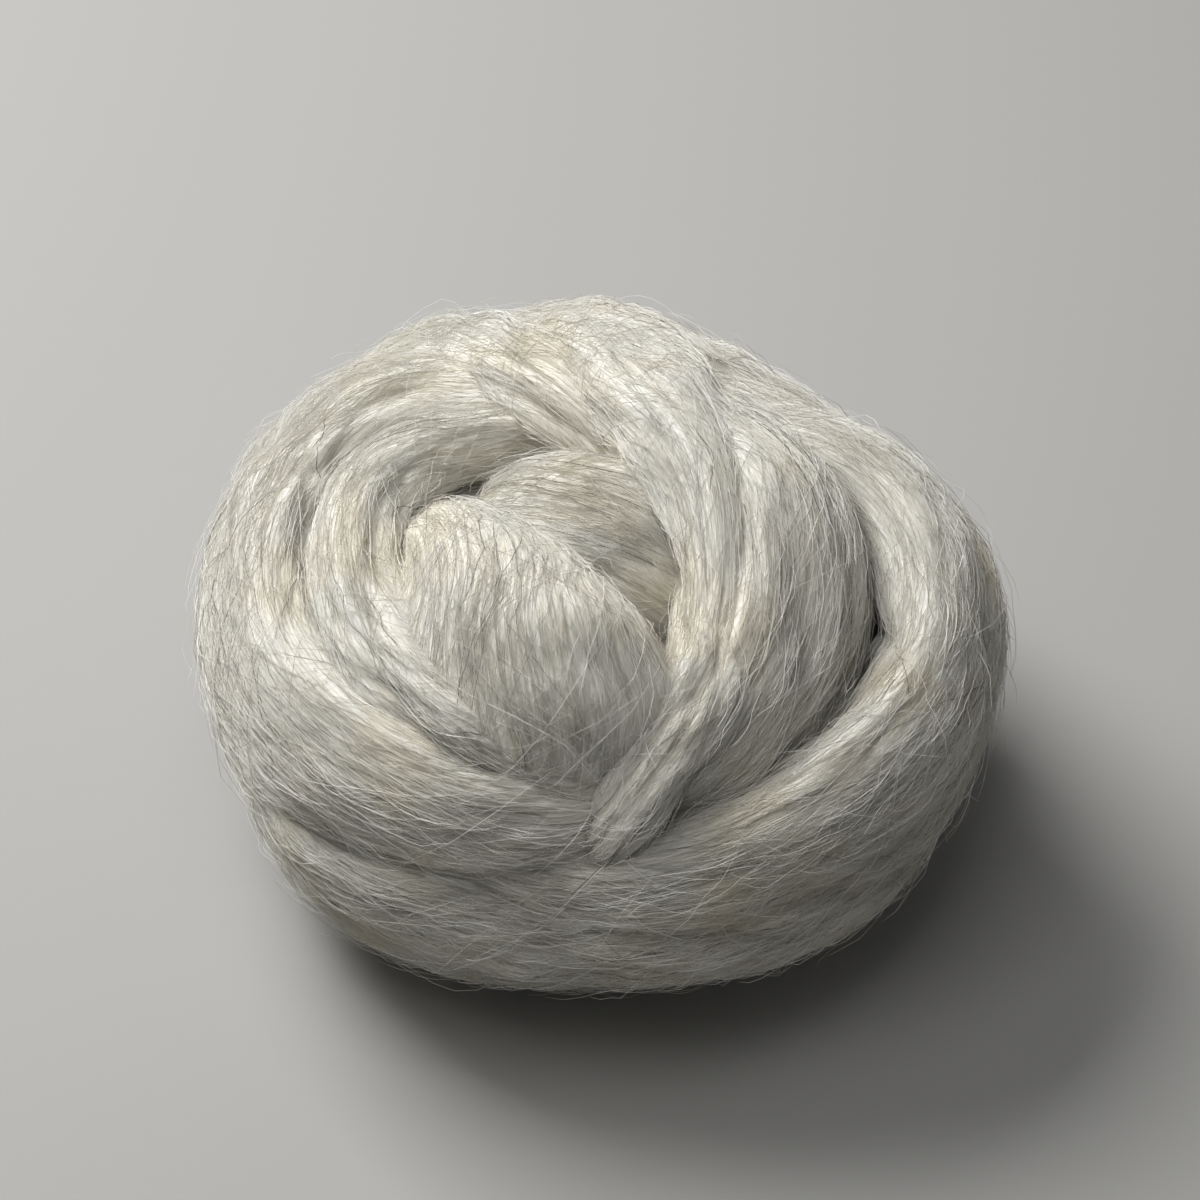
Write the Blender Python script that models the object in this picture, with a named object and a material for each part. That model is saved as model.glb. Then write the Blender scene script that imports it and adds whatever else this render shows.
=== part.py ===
"""A ball of wool roving: one thick untwisted strand, wound by hand into an open-topped nest.

Units are metres and +Z is up. The origin is the middle of the ball's footprint, in the plane of
the flat spot that it rests on. The front of the ball, which its open top leans to, faces -Y.
"""

import math

import bmesh
import bpy
import numpy as np
from mathutils import Vector

MM = 0.001

# The ball as a whole: the envelope that its turns are wound to.
BALL_WIDTH = 150 * MM
BALL_LENGTH = 140 * MM
BALL_HEIGHT = 100 * MM
BALL_MIDDLE = (-0.35 * MM, -0.35 * MM, 46.2 * MM)  # what lies below z = 0 is pressed flat
CORE_SHRINK = 13 * MM  # how far the packed middle lies under the envelope
WINDING_TILT = math.radians(40)  # the winding axis leans this far from upright, to the front

# The strand's cross-section: a soft oval with shallow ribs along it.
SECTION_POINTS = 28
RIBS = 5  # shallow ribs round the section, which keep to the strand's own twist
RIB_HEIGHT = 0.7 * MM
TWIST = 1.6  # turns in one metre of strand
STEP_ALONG = 3 * MM
STEPS_BETWEEN_ROWS = 24  # how finely the route is read before it is cut to even steps
END_TAPER = 12 * MM  # the length over which each end rounds off
END_FULLNESS = 0.1  # how much of its width the strand keeps at the very end

# How the wound lengths are fused into one solid.
VOXEL = 1.6 * MM
SMOOTH_PASSES = 2
TARGET_TRIANGLES = 9000

# Each length of the strand, as rows of: around, down, sink, width, depth, lean.
# around and down are degrees about and away from the winding axis, seen from its open end: 0 is
# the ball's right, 90 its back and -90 its front. sink is how far the strand's middle lies under
# the envelope, width and depth are the strand's own, all in mm, and lean rolls it, in degrees.
TURNS = {
    "under": (
        (-20, 132, 12, 42, 22, 0),
        (40, 134, 16, 42, 22, 0),
        (100, 140, 13, 40, 22, 0),
        (160, 138, 12, 42, 22, 0),
        (220, 133, 12, 44, 22, 0),
        (280, 136, 12, 44, 22, 0),
        (345, 140, 14, 40, 22, 0),
    ),
    "under_cross": (
        (-10, 138, 22, 22, 14, 0),
        (-10, 154, 14, 28, 18, 0),
        (-10, 171, 11, 32, 20, 0),
        (-10, 189, 11, 32, 20, 0),
        (-10, 206, 14, 28, 18, 0),
        (-10, 222, 22, 22, 14, 0),
    ),
    "back": (
        (-60, 96, 15, 32, 18, 0),
        (-25, 103, 12, 38, 20, 0),
        (10, 112, 13, 38, 20, 0),
        (50, 112, 20, 38, 20, 0),
        (90, 107, 14, 36, 20, 0),
        (130, 103, 11, 36, 20, 0),
        (170, 104, 10, 38, 20, 0),
        (210, 102, 11, 38, 20, 0),
        (245, 94, 15, 32, 18, 0),
    ),
    "back_cross": (
        (12, 90, 22, 22, 14, 0),
        (35, 98, 16, 28, 17, 0),
        (62, 105, 15, 30, 18, 0),
        (90, 117, 9, 32, 18, 0),
        (120, 125, 9, 32, 18, 0),
        (150, 128, 9, 32, 18, 0),
        (180, 125, 10, 30, 18, 0),
        (205, 116, 14, 26, 14, 0),
        (222, 108, 24, 20, 12, 0),
    ),
    "under_front": (
        (0, 124, 22, 24, 14, 0),
        (-16, 119, 14, 30, 18, 0),
        (-34, 113, 11, 34, 19, 0),
        (-60, 108, 11, 34, 19, 0),
        (-92, 106, 12, 34, 19, 0),
        (-122, 107, 11, 34, 19, 0),
        (-150, 112, 12, 32, 18, 0),
        (-172, 117, 17, 28, 16, 0),
        (-190, 120, 26, 20, 12, 0),
    ),
    "lowest_front": (
        (30, 117, 23, 26, 16, 0),
        (10, 111, 15, 32, 18, 0),
        (-10, 103, 10, 35, 20, 0),
        (-30, 94, 8, 36, 20, 0),
        (-50, 86, 8, 36, 20, 0),
        (-70, 81, 9, 36, 20, 0),
        (-92, 79, 10, 36, 20, 0),
        (-114, 79, 9, 36, 20, 0),
        (-135, 82, 8, 34, 20, 0),
        (-154, 88, 11, 31, 18, 0),
        (-171, 94, 18, 26, 16, 0),
        (-186, 98, 27, 20, 12, 0),
    ),
    "lower_front": (
        (2, 94, 24, 22, 14, 0),
        (-14, 89, 14, 27, 18, 0),
        (-32, 78, 9, 29, 19, 0),
        (-52, 67, 8, 29, 19, 0),
        (-70, 60, 9, 27, 19, 0),
        (-92, 57, 10, 26, 18, 0),
        (-114, 58, 10, 26, 18, 0),
        (-133, 63, 9, 27, 18, 0),
        (-149, 69, 10, 26, 17, 0),
        (-163, 75, 17, 22, 15, 0),
        (-175, 79, 26, 18, 12, 0),
    ),
    "outer_left": (
        (74, 84, 24, 22, 14, 0),
        (90, 84, 15, 28, 18, 0),
        (106, 86, 12, 30, 20, 0),
        (122, 89, 10, 32, 20, 0),
        (138, 87, 8, 34, 20, 0),
        (154, 83, 8, 36, 20, 0),
        (168, 77, 8, 38, 20, 0),
        (182, 69, 8, 38, 20, 0),
        (196, 60, 8, 36, 20, 0),
        (210, 51, 9, 34, 19, -6),
        (226, 43, 10, 30, 18, -12),
        (246, 38, 12, 26, 17, -12),
        (267, 37, 16, 22, 15, -8),
        (284, 38, 24, 18, 12, 0),
    ),
    "outer_right": (
        (96, 92, 25, 24, 16, 0),
        (74, 88, 22, 32, 20, 0),
        (52, 84, 19, 38, 20, 6),
        (32, 80, 11, 42, 20, 10),
        (12, 76, 7, 46, 21, 8),
        (-6, 71, 7, 48, 21, 8),
        (-24, 63, 7, 46, 21, 8),
        (-44, 55, 9, 40, 20, 10),
        (-66, 50, 11, 30, 19, 12),
        (-90, 50, 12, 26, 18, 8),
        (-112, 53, 13, 25, 17, 4),
        (-134, 59, 15, 24, 16, 0),
        (-150, 64, 20, 22, 15, 0),
        (-164, 67, 28, 18, 12, 0),
    ),
    "middle_right": (
        (94, 92, 20, 22, 14, 0),
        (78, 81, 15, 28, 18, 0),
        (58, 71, 11, 34, 19, 4),
        (38, 61, 8, 37, 20, 8),
        (20, 51, 9, 37, 20, 10),
        (0, 43, 11, 34, 19, 10),
        (-23, 37, 13, 29, 18, 8),
        (-48, 34, 15, 24, 17, 4),
        (-68, 35, 19, 20, 14, 0),
        (-84, 38, 27, 18, 12, 0),
    ),
    "inner_left": (
        (88, 66, 26, 12, 10, 0),
        (104, 70, 14, 12, 11, 0),
        (118, 69, 10, 15, 14, 0),
        (132, 69, 9, 16, 15, -8),
        (147, 64, 7, 16, 15, -12),
        (160, 55, 6, 16, 16, -14),
        (172, 47, 6, 15, 16, -16),
        (184, 40, 6, 15, 16, -20),
        (198, 34, 7, 17, 16, -24),
        (216, 30, 9, 20, 15, -24),
        (240, 29, 12, 21, 14, -20),
        (264, 30, 15, 19, 13, -14),
        (284, 33, 23, 14, 10, 0),
    ),
    "heart_top": (
        (28, 39, 32, 26, 14, 0),
        (42, 33, 23, 32, 18, 0),
        (65, 28, 15, 34, 20, 0),
        (95, 28, 12, 33, 20, 0),
        (115, 33, 12, 31, 20, 0),
        (129, 41, 17, 26, 16, 0),
        (139, 48, 28, 20, 12, 0),
    ),
    "heart": (
        (158, 58, 25, 22, 14, 0),
        (157, 48, 17, 27, 18, 0),
        (158, 39, 13, 31, 20, 0),
        (170, 28, 11, 42, 24, 0),
        (203, 20, 11, 50, 26, 0),
        (238, 20, 14, 49, 26, 0),
        (254, 27, 20, 41, 22, 0),
        (261, 35, 31, 32, 16, 0),
    ),
    "rim_right": (
        (44, 48, 26, 7, 7, 0),
        (32, 37, 16, 8, 9, 8),
        (14, 27, 9, 11, 13, 14),
        (-14, 23, 7, 12, 15, 18),
        (-40, 22, 7, 12, 15, 18),
        (-63, 25, 8, 12, 14, 14),
        (-78, 31, 9, 12, 13, 8),
        (-88, 38, 12, 10, 11, 0),
        (-96, 45, 21, 7, 8, 0),
    ),
    "crossing": (
        (92, 110, 18, 18, 14, 0),
        (90, 96, 8, 24, 19, 0),
        (84, 80, 5, 27, 20, 8),
        (75, 64, 4, 27, 21, 14),
        (63, 52, 4, 24, 21, 18),
        (52, 43, 4, 18, 19, 18),
        (43, 37, 4, 13, 14, 12),
        (35, 32, 5, 8, 9, 0),
        (27, 28, 7, 4, 5, 0),
    ),
    "upper_strand": (
        (152, 96, 18, 14, 10, 0),
        (138, 97, 9, 18, 13, 0),
        (124, 97, 5, 19, 15, 0),
        (113, 91, 4, 19, 15, 0),
        (106, 79, 4, 18, 15, 0),
        (99, 68, 5, 15, 14, 0),
        (90, 60, 9, 12, 12, 0),
        (76, 54, 16, 9, 9, 0),
    ),
}

# Wool, as it grew: creamy white with a few grey fibres among it.
WOOL_COLOUR = (0.62, 0.585, 0.51, 1.0)
WOOL_ROUGHNESS = 0.9


def clear_scene():
    for old in list(bpy.data.objects):
        bpy.data.objects.remove(old, do_unlink=True)


def winding_frame():
    """The ball's right, its back and its winding axis, as unit vectors."""
    right = np.array((1.0, 0.0, 0.0))
    back = np.array((0.0, math.cos(WINDING_TILT), math.sin(WINDING_TILT)))
    axis = np.array((0.0, -math.sin(WINDING_TILT), math.cos(WINDING_TILT)))
    return right, back, axis


def envelope_point(around, down, sink):
    """The point sink under the envelope in the direction around and down, from the ball's middle."""
    right, back, axis = winding_frame()
    level = math.sin(down) * (math.cos(around) * right + math.sin(around) * back)
    direction = level + math.cos(down) * axis
    half = np.array((BALL_WIDTH, BALL_LENGTH, BALL_HEIGHT)) / 2
    reach = 1 / np.linalg.norm(direction / half)
    return direction * (reach - sink)


def smooth_through(rows, steps):
    """Rows read from a Catmull-Rom curve through the given ones, steps to each gap."""
    rows = np.array(rows, float)
    ends = np.vstack((2 * rows[0] - rows[1], rows, 2 * rows[-1] - rows[-2]))
    made = []
    for before, start, end, after in zip(ends, ends[1:], ends[2:], ends[3:]):
        for t in np.arange(steps) / steps:
            made.append(
                start
                + t * (end - before) / 2
                + t**2 * (before - 2.5 * start + 2 * end - after / 2)
                + t**3 * (1.5 * (start - end) + (after - before) / 2)
            )
    return np.array(made + [rows[-1]])


def route_of(rows):
    """The strand's middle line with its width, depth and lean, at even steps along it."""
    fine = smooth_through(rows, STEPS_BETWEEN_ROWS)
    angles = np.radians(fine[:, :2])
    places = np.array(
        [envelope_point(a, d, s * MM) for (a, d), s in zip(angles, fine[:, 2])]
    )
    run = np.concatenate(([0], np.cumsum(np.linalg.norm(np.diff(places, axis=0), axis=1))))
    stations = np.linspace(0, run[-1], max(4, round(run[-1] / STEP_ALONG)) + 1)
    columns = np.column_stack((places, fine[:, 3:5] * MM, np.radians(fine[:, 5])))
    return stations, np.column_stack([np.interp(stations, run, c) for c in columns.T])


def section(width, depth, along):
    """One oval cross-section, as offsets across and outwards."""
    turn = np.linspace(0, 2 * math.pi, SECTION_POINTS, endpoint=False)
    rib = RIB_HEIGHT * np.cos(RIBS * turn + 2 * math.pi * TWIST * along)
    return (width / 2 + rib) * np.cos(turn), (depth / 2 + rib) * np.sin(turn)


def add_strand(bm, rows):
    """Sweeps one closed length of strand into bm."""
    stations, route = route_of(rows)
    places = route[:, :3]
    tangents = np.gradient(places, axis=0)
    tangents /= np.linalg.norm(tangents, axis=1)[:, None]
    loops = []
    for along, place, tangent, (width, depth, lean) in zip(
        stations, places, tangents, route[:, 3:]
    ):
        outward = place - tangent * (place @ tangent)
        outward /= np.linalg.norm(outward)
        across = np.cross(tangent, outward)
        across, outward = (
            across * math.cos(lean) + outward * math.sin(lean),
            outward * math.cos(lean) - across * math.sin(lean),
        )
        from_end = min(1.0, min(along, stations[-1] - along) / END_TAPER)
        fullness = END_FULLNESS + (1 - END_FULLNESS) * math.sqrt(1 - (1 - from_end) ** 2)
        sideways, upwards = section(width * fullness, depth * fullness, along)
        ring = [
            bm.verts.new(Vector(place + across * s + outward * u))
            for s, u in zip(sideways, upwards)
        ]
        loops.append([bm.edges.new((a, b)) for a, b in zip(ring, ring[1:] + ring[:1])])
    for first, second in zip(loops, loops[1:]):
        bmesh.ops.bridge_loops(bm, edges=first + second)
    for end in (loops[0], loops[-1]):
        bmesh.ops.contextual_create(bm, geom=end)


def add_core(bm):
    """The packed middle of the ball, which closes every gap between the turns."""
    made = bmesh.ops.create_icosphere(bm, subdivisions=5, radius=1)
    half = np.array((BALL_WIDTH, BALL_LENGTH, BALL_HEIGHT)) / 2 - CORE_SHRINK
    bmesh.ops.scale(bm, vec=Vector(half), verts=made["verts"])


def largest_body(bm):
    """Leaves only the largest connected body in bm."""
    left = set(bm.verts)
    bodies = []
    while left:
        body, edge = set(), [left.pop()]
        while edge:
            vert = edge.pop()
            body.add(vert)
            for other in (e.other_vert(vert) for e in vert.link_edges):
                if other in left:
                    left.discard(other)
                    edge.append(other)
        bodies.append(body)
    largest = max(bodies, key=len)
    spare = [v for v in bm.verts if v not in largest]
    bmesh.ops.delete(bm, geom=spare, context="VERTS")


def wound_mesh():
    """All the turns and the core as one mesh of overlapping closed shells."""
    bm = bmesh.new()
    add_core(bm)
    for rows in TURNS.values():
        add_strand(bm, rows)
    bmesh.ops.recalc_face_normals(bm, faces=bm.faces)
    mesh = bpy.data.meshes.new("turns")
    bm.to_mesh(mesh)
    bm.free()
    return mesh


def fused(mesh):
    """The turns as one closed surface, eased and thinned to the target number of triangles."""
    helper = bpy.data.objects.new("turns", mesh)
    bpy.context.scene.collection.objects.link(helper)
    remesh = helper.modifiers.new("fuse", "REMESH")
    remesh.mode = "VOXEL"
    remesh.voxel_size = VOXEL
    ease = helper.modifiers.new("ease", "SMOOTH")
    ease.factor = 0.5
    ease.iterations = SMOOTH_PASSES
    bpy.context.view_layer.update()
    graph = bpy.context.evaluated_depsgraph_get()
    whole = bpy.data.meshes.new_from_object(helper.evaluated_get(graph))
    bpy.data.objects.remove(helper, do_unlink=True)
    return whole


def flattened(mesh):
    """One body in its place, with its underside pressed flat on z = 0."""
    bm = bmesh.new()
    bm.from_mesh(mesh)
    largest_body(bm)
    bmesh.ops.translate(bm, vec=BALL_MIDDLE, verts=bm.verts)
    for vert in bm.verts:
        vert.co.z = max(vert.co.z, 0.0)
    bmesh.ops.triangulate(bm, faces=bm.faces)
    bm.to_mesh(mesh)
    bm.free()
    return mesh


def wool():
    material = bpy.data.materials.new("wool")
    material.use_nodes = True
    shader = material.node_tree.nodes["Principled BSDF"]
    shader.inputs["Base Color"].default_value = WOOL_COLOUR
    shader.inputs["Roughness"].default_value = WOOL_ROUGHNESS
    shader.inputs["Metallic"].default_value = 0.0
    return material


def main():
    clear_scene()
    mesh = flattened(fused(wound_mesh()))
    mesh.name = "roving_ball"
    ball = bpy.data.objects.new("roving_ball", mesh)
    bpy.context.scene.collection.objects.link(ball)
    thin = ball.modifiers.new("thin", "DECIMATE")
    thin.ratio = min(1.0, TARGET_TRIANGLES / len(mesh.polygons))
    mesh.materials.clear()
    mesh.materials.append(wool())
    mesh.shade_smooth()


main()
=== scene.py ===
"""The looks of a ball of wool roving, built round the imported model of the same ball.

The wound turns are closed shells swept along the solid's routes, with their own map of how far
along and how far round each place lies. Two things differ from the solid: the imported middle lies
deeper, and the crossing strand runs on along the rim. Fibres are then laid along that map.
"""

import math

import bmesh
import bpy
import numpy as np
from bpy.props import FloatProperty, FloatVectorProperty, IntProperty, PointerProperty
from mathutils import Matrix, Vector
from mathutils.bvhtree import BVHTree


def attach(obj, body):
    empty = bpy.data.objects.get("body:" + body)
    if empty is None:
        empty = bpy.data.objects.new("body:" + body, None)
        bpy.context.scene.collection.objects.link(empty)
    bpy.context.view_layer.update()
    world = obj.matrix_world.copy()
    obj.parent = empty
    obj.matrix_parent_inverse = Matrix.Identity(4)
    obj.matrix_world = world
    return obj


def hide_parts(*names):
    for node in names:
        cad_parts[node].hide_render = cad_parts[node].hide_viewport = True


bl_info = {
    "name": "Wool Roving Ball",
    "version": (1, 0, 0),
    "blender": (4, 5, 0),
    "location": "3D View > Sidebar > Roving",
    "description": "A hand-wound ball of combed wool roving with its fibres",
    "category": "Add Mesh",
}

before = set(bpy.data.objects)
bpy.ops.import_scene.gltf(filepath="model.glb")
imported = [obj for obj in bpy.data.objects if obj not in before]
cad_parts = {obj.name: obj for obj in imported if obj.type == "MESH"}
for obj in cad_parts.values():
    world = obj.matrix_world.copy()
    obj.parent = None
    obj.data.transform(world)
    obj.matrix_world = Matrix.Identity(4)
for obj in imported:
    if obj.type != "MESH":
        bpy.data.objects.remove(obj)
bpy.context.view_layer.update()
BALL_NODE = "roving_ball"
BODY = "root"
MM = 0.001

# Each length of the strand, as rows of: around, down, sink, width, depth, lean.
# around and down are degrees about and away from the winding axis, seen from its open end: 0 is
# the ball's right, 90 its back and -90 its front. sink is how far the strand's middle lies under
# the envelope, width and depth are the strand's own, all in mm, and lean rolls it, in degrees.
TURNS = {
    "under": (
        (-20, 132, 12, 42, 22, 0),
        (40, 134, 16, 42, 22, 0),
        (100, 140, 13, 40, 22, 0),
        (160, 138, 12, 42, 22, 0),
        (220, 133, 12, 44, 22, 0),
        (280, 136, 12, 44, 22, 0),
        (345, 140, 14, 40, 22, 0),
    ),
    "under_cross": (
        (-10, 138, 22, 22, 14, 0),
        (-10, 154, 14, 28, 18, 0),
        (-10, 171, 11, 32, 20, 0),
        (-10, 189, 11, 32, 20, 0),
        (-10, 206, 14, 28, 18, 0),
        (-10, 222, 22, 22, 14, 0),
    ),
    "back": (
        (-60, 96, 15, 32, 18, 0),
        (-25, 103, 12, 38, 20, 0),
        (10, 112, 13, 38, 20, 0),
        (50, 112, 20, 38, 20, 0),
        (90, 107, 14, 36, 20, 0),
        (130, 103, 11, 36, 20, 0),
        (170, 104, 10, 38, 20, 0),
        (210, 102, 11, 38, 20, 0),
        (245, 94, 15, 32, 18, 0),
    ),
    "back_cross": (
        (12, 90, 22, 22, 14, 0),
        (35, 98, 16, 28, 17, 0),
        (62, 105, 15, 30, 18, 0),
        (90, 117, 9, 32, 18, 0),
        (120, 125, 9, 32, 18, 0),
        (150, 128, 9, 32, 18, 0),
        (180, 125, 10, 30, 18, 0),
        (205, 116, 14, 26, 14, 0),
        (222, 108, 24, 20, 12, 0),
    ),
    "under_front": (
        (0, 124, 22, 24, 14, 0),
        (-16, 119, 14, 30, 18, 0),
        (-34, 113, 11, 34, 19, 0),
        (-60, 108, 11, 34, 19, 0),
        (-92, 106, 12, 34, 19, 0),
        (-122, 107, 11, 34, 19, 0),
        (-150, 112, 12, 32, 18, 0),
        (-172, 117, 17, 28, 16, 0),
        (-190, 120, 26, 20, 12, 0),
    ),
    "lowest_front": (
        (30, 117, 23, 26, 16, 0),
        (10, 111, 15, 32, 18, 0),
        (-10, 103, 10, 35, 20, 0),
        (-30, 94, 8, 36, 20, 0),
        (-50, 86, 8, 36, 20, 0),
        (-70, 81, 9, 36, 20, 0),
        (-92, 79, 10, 36, 20, 0),
        (-114, 79, 9, 36, 20, 0),
        (-135, 82, 8, 34, 20, 0),
        (-154, 88, 11, 31, 18, 0),
        (-171, 94, 18, 26, 16, 0),
        (-186, 98, 27, 20, 12, 0),
    ),
    "lower_front": (
        (2, 94, 24, 22, 14, 0),
        (-14, 89, 14, 27, 18, 0),
        (-32, 78, 9, 29, 19, 0),
        (-52, 67, 8, 29, 19, 0),
        (-70, 60, 9, 27, 19, 0),
        (-92, 57, 10, 26, 18, 0),
        (-114, 58, 10, 26, 18, 0),
        (-133, 63, 9, 27, 18, 0),
        (-149, 69, 10, 26, 17, 0),
        (-163, 75, 17, 22, 15, 0),
        (-175, 79, 26, 18, 12, 0),
    ),
    "outer_left": (
        (74, 84, 24, 22, 14, 0),
        (90, 84, 15, 28, 18, 0),
        (106, 86, 12, 30, 20, 0),
        (122, 89, 10, 32, 20, 0),
        (138, 87, 8, 34, 20, 0),
        (154, 83, 8, 36, 20, 0),
        (168, 77, 8, 38, 20, 0),
        (182, 69, 8, 38, 20, 0),
        (196, 60, 8, 36, 20, 0),
        (210, 51, 9, 34, 19, -6),
        (226, 43, 10, 30, 18, -12),
        (246, 38, 12, 26, 17, -12),
        (267, 37, 16, 22, 15, -8),
        (284, 38, 24, 18, 12, 0),
    ),
    "outer_right": (
        (96, 92, 25, 24, 16, 0),
        (74, 88, 22, 32, 20, 0),
        (52, 84, 19, 38, 20, 6),
        (32, 80, 11, 42, 20, 10),
        (12, 76, 7, 46, 21, 8),
        (-6, 71, 7, 48, 21, 8),
        (-24, 63, 7, 46, 21, 8),
        (-44, 55, 9, 40, 20, 10),
        (-66, 50, 11, 30, 19, 12),
        (-90, 50, 12, 26, 18, 8),
        (-112, 53, 13, 25, 17, 4),
        (-134, 59, 15, 24, 16, 0),
        (-150, 64, 20, 22, 15, 0),
        (-164, 67, 28, 18, 12, 0),
    ),
    "middle_right": (
        (94, 92, 20, 22, 14, 0),
        (78, 81, 15, 28, 18, 0),
        (58, 71, 11, 34, 19, 4),
        (38, 61, 8, 37, 20, 8),
        (20, 51, 9, 37, 20, 10),
        (0, 43, 11, 34, 19, 10),
        (-23, 37, 13, 29, 18, 8),
        (-48, 34, 15, 24, 17, 4),
        (-68, 35, 19, 20, 14, 0),
        (-84, 38, 27, 18, 12, 0),
    ),
    "inner_left": (
        (88, 66, 26, 12, 10, 0),
        (104, 70, 14, 12, 11, 0),
        (118, 69, 10, 15, 14, 0),
        (132, 69, 9, 16, 15, -8),
        (147, 64, 7, 16, 15, -12),
        (160, 55, 6, 16, 16, -14),
        (172, 47, 6, 15, 16, -16),
        (184, 40, 6, 15, 16, -20),
        (198, 34, 7, 17, 16, -24),
        (216, 30, 9, 20, 15, -24),
        (240, 29, 12, 21, 14, -20),
        (264, 30, 15, 19, 13, -14),
        (284, 33, 23, 14, 10, 0),
    ),
    "heart_top": (
        (28, 39, 32, 26, 14, 0),
        (42, 33, 23, 32, 18, 0),
        (65, 28, 15, 34, 20, 0),
        (95, 28, 12, 33, 20, 0),
        (115, 33, 12, 31, 20, 0),
        (129, 41, 17, 26, 16, 0),
        (139, 48, 28, 20, 12, 0),
    ),
    "heart": (
        (158, 58, 25, 22, 14, 0),
        (157, 48, 17, 27, 18, 0),
        (158, 39, 13, 31, 20, 0),
        (170, 28, 11, 42, 24, 0),
        (203, 20, 11, 50, 26, 0),
        (238, 20, 14, 49, 26, 0),
        (254, 27, 20, 41, 22, 0),
        (261, 35, 31, 32, 16, 0),
    ),
    "rim_right": (
        (44, 48, 26, 7, 7, 0),
        (32, 37, 16, 8, 9, 8),
        (14, 27, 9, 11, 13, 14),
        (-14, 23, 7, 12, 15, 18),
        (-40, 22, 7, 12, 15, 18),
        (-63, 25, 8, 12, 14, 14),
        (-78, 31, 9, 12, 13, 8),
        (-88, 38, 12, 10, 11, 0),
        (-96, 45, 21, 7, 8, 0),
    ),
    "crossing": (
        (92, 110, 18, 18, 14, 0),
        (90, 96, 8, 24, 19, 0),
        (84, 80, 5, 27, 20, 8),
        (75, 64, 4, 27, 21, 14),
        (63, 52, 4, 24, 21, 18),
        (52, 43, 4, 18, 19, 18),
        (41, 36, 4, 14, 15, 16),
        (26, 30, 5, 11, 12, 14),
        (5, 25, 7, 10, 11, 14),
        (-18, 23, 9, 9, 10, 16),
        (-40, 22, 14, 5, 6, 16),
    ),
    "upper_strand": (
        (152, 96, 18, 14, 10, 0),
        (138, 97, 9, 18, 13, 0),
        (124, 97, 5, 19, 15, 0),
        (113, 91, 4, 19, 15, 0),
        (106, 79, 4, 18, 15, 0),
        (99, 68, 5, 15, 14, 0),
        (90, 60, 9, 12, 12, 0),
        (76, 54, 16, 9, 9, 0),
    ),
}

# How far the fibres lie across their strand where it isn't combed straight, in degrees.
GRAIN = {
    "heart": -30,
    "heart_top": -6,
    "middle_right": 5,
    "outer_right": -4,
    "lower_front": 4,
    "lowest_front": -4,
}

# The locks of fibre that stand up along a strand, as rows of: how many round it, their height in
# mm, and how far they wander sideways, in turns of their own spacing.
LOCKS = (
    (3, 1.1, 0.5),
    (5, 1.0, 0.8),
    (9, 0.6, 1.3),
    (15, 0.25, 2.0),
    (24, 0.1, 3.0),
)
LOCK_WANDER = 90 * MM  # the length of strand over which the locks wander sideways
LOCK_SWELL = 55 * MM  # the length of strand over which they swell and shrink
SWELL = 0.45
WANDER_PARTS = (0.45, 0.73, 1.0, 1.7, 2.9)  # shares of its length that a wandering curve mixes
WANDER_HEIGHT = 2.6  # the height of that mix
RING_POINTS = 64
RING_STEP = 3 * MM
FEWEST_RINGS = 8
STEPS_BETWEEN_ROWS = 24
TWIST = 1.6  # turns in one metre of strand
END_TAPER = 12 * MM
END_FULLNESS = 0.1
CORE_RINGS = 40
CORE_POLE = 0.04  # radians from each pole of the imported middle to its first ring
LAY_SPAN = 2.5  # metres that one unit of the lay map stands for, along and round
LAY_GAP = 20 * MM  # what keeps one strand's rows in that map clear of the next one's
FLOOR_GAP = 0.2 * MM  # how far the lowest fibres stay above the surface that the ball rests on
OPEN_RAYS = 12
OPEN_START = 0.8 * MM  # how far over the surface these rays start
OPEN_REACH = 0.9  # how low they go, from straight out at 0 to level at 1
FULL_COVER = 0.4  # the openness from which fibres lie at their full density
PER_AREA = 0.01  # square metres in the area that the fibre settings are counted for
# The layers of laid fibres, as rows of: how long for the mean, how high off and how far they wave
# in mm, and their largest slant.
LAYERS = (
    (1.2, 0.6, 1.0, 0.25),
    (1.0, 0.9, 1.8, 0.45),
    (0.8, 1.3, 2.6, 0.9),
)
LEAST_HEIGHT = 0.05 * MM  # how far over the turns the lowest fibres lie
END_TUCK = 0.4 * MM  # how far down both ends of a fibre bend
LEAST_POINTS = 4  # a fibre with fewer points left is taken out
SLANT_SPREAD = 0.07  # the slant that even the straightest fibres vary by
THINNEST, THICKEST = 0.6, 1.4  # the range of widths, as shares of the mean
THIN_END = 0.25  # the width that a fibre starts from at both ends, as a share of its own
CELL_MARGIN = 0.2  # the share of its bake cell that each fibre keeps clear, on all sides
WOOL_IOR = 1.55
SHEEN_ROUGHNESS = 0.6
FLOOR_SIZE = 4.0
SENSOR_WIDTH = 36.0  # mm
CAMERA_AIM = Vector((0.0, 0.0, 50 * MM))
STAGE_AIM = Vector((0.0, 0.0, 40 * MM))
# The lamps, as rows of: name, place, size in metres, power in watts.
LAMPS = (
    ("key", (-0.45, 0.35, 0.82), 0.5, 10.0),
    ("overhead", (-0.12, -0.2, 1.0), 0.5, 2.0),
)


# ---------------------------------------------------------------- settings


def linear(colour):
    """An sRGB hex colour, such as "D8D2C4", as linear RGBA."""
    parts = [int(colour[i : i + 2], 16) / 255 for i in (0, 2, 4)]
    return (*(c / 12.92 if c <= 0.04045 else ((c + 0.055) / 1.055) ** 2.4 for c in parts), 1.0)


def colour_setting(name, description, colour):
    """A colour to pick in the panel, from an sRGB hex colour."""
    return FloatVectorProperty(
        name=name, description=description, default=linear(colour), size=4, subtype="COLOR"
    )


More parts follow.
